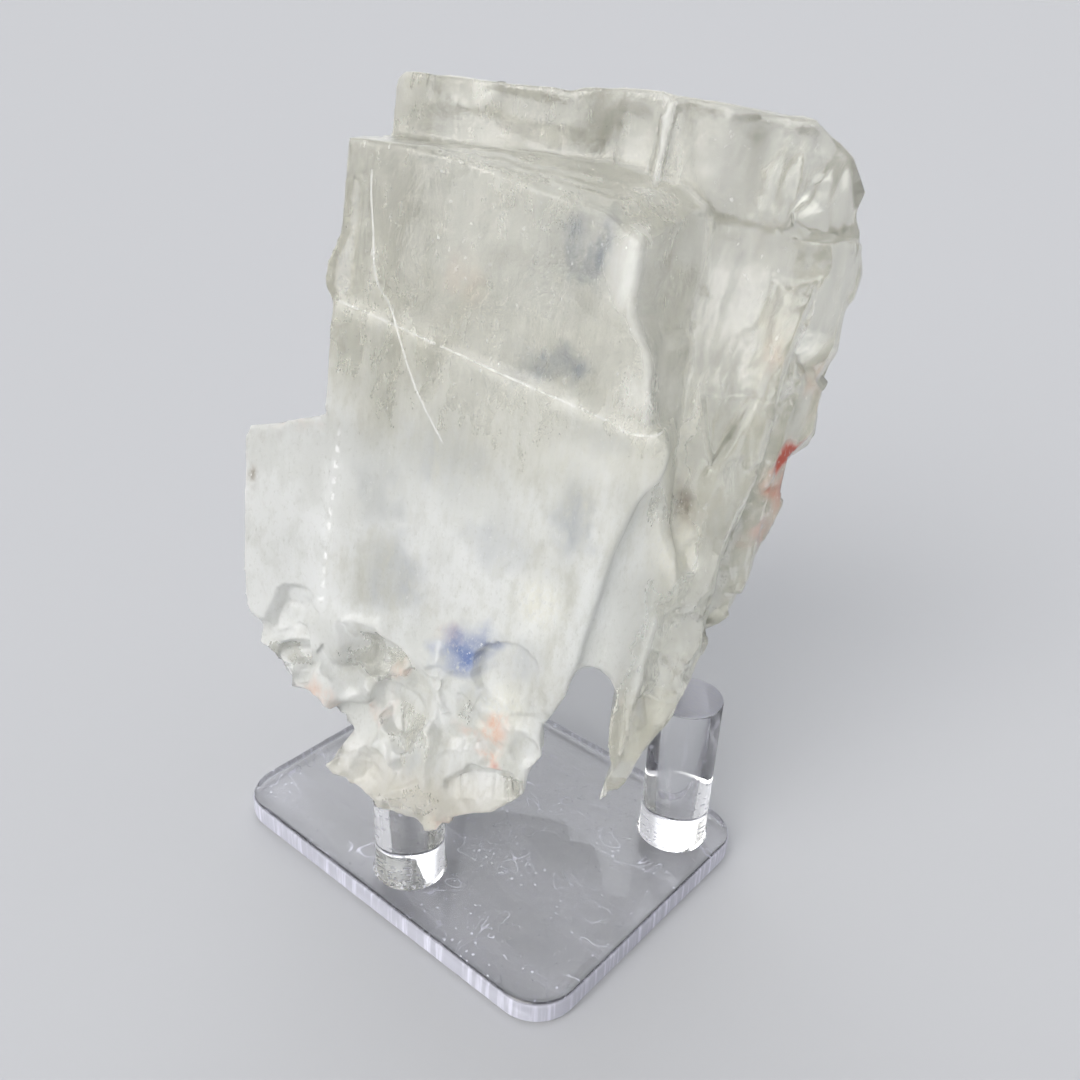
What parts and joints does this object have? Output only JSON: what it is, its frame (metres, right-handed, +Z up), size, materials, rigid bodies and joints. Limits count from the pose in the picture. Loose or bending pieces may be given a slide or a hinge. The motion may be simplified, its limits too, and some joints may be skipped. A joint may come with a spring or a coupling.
{
  "type": "fluorite crystal",
  "caption": "Cloudy stepped crystal with a broken foot, an arch and a pointed leg, leaning back on the pegs of a clear acrylic display stand.",
  "frame": {"origin": "middle of the base plate's underside", "axes": "+X along the plate's long side, +Y from the single front peg to the two back pegs, +Z up"},
  "size_m": [0.0854, 0.0868, 0.1377],
  "materials": {
    "crystal": "cloudy, frosted natural surface",
    "acrylic": "clear, polished, lightly scratched"
  },
  "bodies": {
    "root": {"crystal": "crystal", "base_plate": "acrylic", "peg_front": "acrylic", "peg_back_left": "acrylic", "peg_back_right": "acrylic"}
  },
  "joints": []
}
